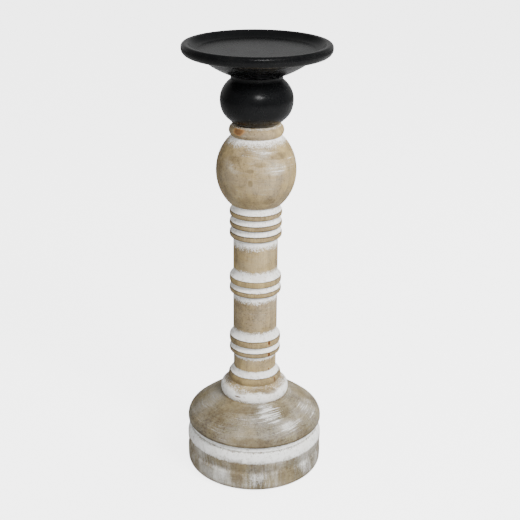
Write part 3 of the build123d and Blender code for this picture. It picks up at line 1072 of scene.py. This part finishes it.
column.to(22.0, 83.9, via=(22.75, 87.0), paint=(0.0, 0.15), edge=0.7)
column.to(21.9, 83.3, via=(21.7, 83.6), paint=(0.2, 0.25), edge=0.3)
column.to(26.3, 80.0, via=(23.8, 81.3), paint=(0.25, 0.45), edge=0.2)
column.to(29.1, 76.2, via=(28.2, 78.4), paint=(0.5, 0.95), edge=0.5)
column.to(28.2, shoulder, via=(29.2, 72.9), paint=(0.95, 0.45), edge=0.3)
column.to(tenon_radius, shoulder, paint=0.0).to(tenon_radius, column_foot + 0.6)
column.to(tenon_radius - 0.6, column_foot).to(screw_hole, column_foot)
column.to(screw_hole, foot_hole_roof).to(0, foot_hole_roof)
turn("column_turned", column, "column", "whitewashed_wood", column_wood, sides=160, step=0.66,
     Wobble=0.22 * MM, Seed=5.0, Chip_Depth=0.45 * MM)

# %% [markdown]
# ## Base
# The base is a thick block with a domed bell, a white cove, a heavy bead that is white only on its
# upper half, and a straight drum. Below are the felt recess and the deep hole for the screw head.
# The screw hole goes right through, so this outline is a closed loop that never meets the axis.
# Holes could be cut from a solid instead, but the cuts would lose the marks for the paint.

# %% Base
base_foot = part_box("base")[0].z / MM
base_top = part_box("base")[1].z / MM
socket_radius = 11.05
head_hole_radius = 12.0
head_hole_roof = 30.0
felt_recess_radius = 50.2
felt_recess_roof = 3.0
base = Outline(screw_hole, head_hole_roof)
base.to(screw_hole, column_foot).to(socket_radius, column_foot).to(socket_radius, base_top)
base.to(28.3, base_top).to(28.9, base_top - 0.15, via=(28.6, base_top))
base.to(54.0, 54.4, via=(40.2, 64.4)).to(58.65, 46.4, via=(57.35, 50.9))
# The lip's underside stays bare and its edge mark darkens it: painted shade under the lip.
base.to(57.9, 43.8, via=(58.55, 44.9), paint=(0.0, 0.35), edge=0.8)
base.to(56.3, 42.5, via=(57.2, 42.9), paint=(0.9, 1.0))
base.to(55.9, 39.2, via=(55.7, 40.8), paint=(1.0, 0.8))
# The paint thins in the cove's corner, so greyish wood shows as a band of painted shade.
base.to(55.2, 38.3, paint=(0.55, 0.42)).to(56.5, 37.1, paint=(0.42, 0.62))
base.to(58.95, 30.6, via=(58.0, 34.2), paint=(1.0, 0.85), edge=0.1)
base.to(59.0, 27.6, via=(59.03, 29.1), paint=(0.85, 0.05), edge=0.1)
base.to(57.9, 20.8, via=(58.75, 24.6), paint=0.0).to(58.9, 17.6, via=(58.15, 19.0))
base.to(58.95, 7.0, via=(59.0, 12.0)).to(53.0, base_foot, via=(57.2, 2.75), edge=0.35)
base.to(felt_recess_radius, base_foot).to(felt_recess_radius, felt_recess_roof)
base.to(head_hole_radius, felt_recess_roof).to(head_hole_radius, head_hole_roof)
base.to(screw_hole, head_hole_roof)
turn("base_turned", base, "base", "whitewashed_wood", base_wood, sides=224, step=0.62,
     Wobble=0.20 * MM, Seed=9.0, Chip_Depth=0.40 * MM)

# %% [markdown]
# ## Screws
# Three screws hold the wood together, and none of them shows. A thread is a groove that climbs as it
# turns. A coil could be swept and joined on, but the lathe tree cuts it more simply, by comparing
# height with angle. The same tree makes the six-lobed drive recess, by letting its wall swing in and
# out six times a turn.


# %% Screws
def threaded_screw(node, radius, point, pitch):
    """A headless wood screw with a point and a thread at each end."""
    low, high = (corner.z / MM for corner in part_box(node))
    screw = Outline(0, low)
    screw.to(radius / 3, low).to(radius, low + point, thread=1.0)
    screw.to(radius, high - point, thread=1.0).to(radius / 3, high, thread=1.0).to(0, high)
    return turn(node + "_threaded", screw, node, "steel", zinc_steel, sides=40, step=pitch / 10,
                Pitch=pitch * MM, Thread_Depth=0.22 * radius * MM)


threaded_screw("plate_screw", radius=3.0, point=3.0, pitch=1.3)
threaded_screw("knop_screw", radius=4.0, point=3.0, pitch=1.6)

head_low, screw_end = (corner.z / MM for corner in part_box("base_screw"))
head_top = head_low + 3.6
drive_floor = head_low + 2.4
drive_radius = 2.15
shank_radius = 3.0
plain_shank = 14.0
base_screw = Outline(0, drive_floor)
base_screw.to(drive_radius, drive_floor).to(drive_radius, head_low, lobes=0.15 * MM)
base_screw.to(3.0, head_low).to(6.0, head_top, via=(5.12, head_low + 1.05))
base_screw.to(shank_radius, head_top).to(shank_radius, head_top + plain_shank)
base_screw.to(shank_radius, screw_end - 6.0, thread=1.0)
base_screw.to(0.3, screw_end, thread=1.0).to(0, screw_end)
turn("base_screw_threaded", base_screw, "base_screw", "steel", zinc_steel, sides=48, step=0.14,
     Pitch=1.4 * MM, Thread_Depth=0.65 * MM)

# %% [markdown]
# ## Washer and felt
# The washer is already right as it came, so it only takes the steel. The felt is a soft disc with a
# rounded lower edge. A cushion shape would look softer, but the felt rests on the table, so its
# underside stays flat. A little air is left above it, in the recess.

# %% Washer and felt
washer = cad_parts["base_washer"]
for material_slot in washer.material_slots:
    material_slot.material = zinc_steel
print("washer", [m.name for m in washer.data.materials])

felt_low, felt_high = (corner.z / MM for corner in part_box("felt_pad"))
felt_radius = 49.9
felt_top = felt_high - 0.05
felt = Outline(0, felt_low)
felt.to(felt_radius - 0.5, felt_low)
felt.to(felt_radius, felt_low + 0.5, via=(felt_radius - 0.15, felt_low + 0.15))
felt.to(felt_radius, felt_top).to(0, felt_top)
turn("felt_disc", felt, "felt_pad", "felt", brown_felt, sides=160, step=0.6,
     Wobble=0.3 * MM, Seed=4.0)
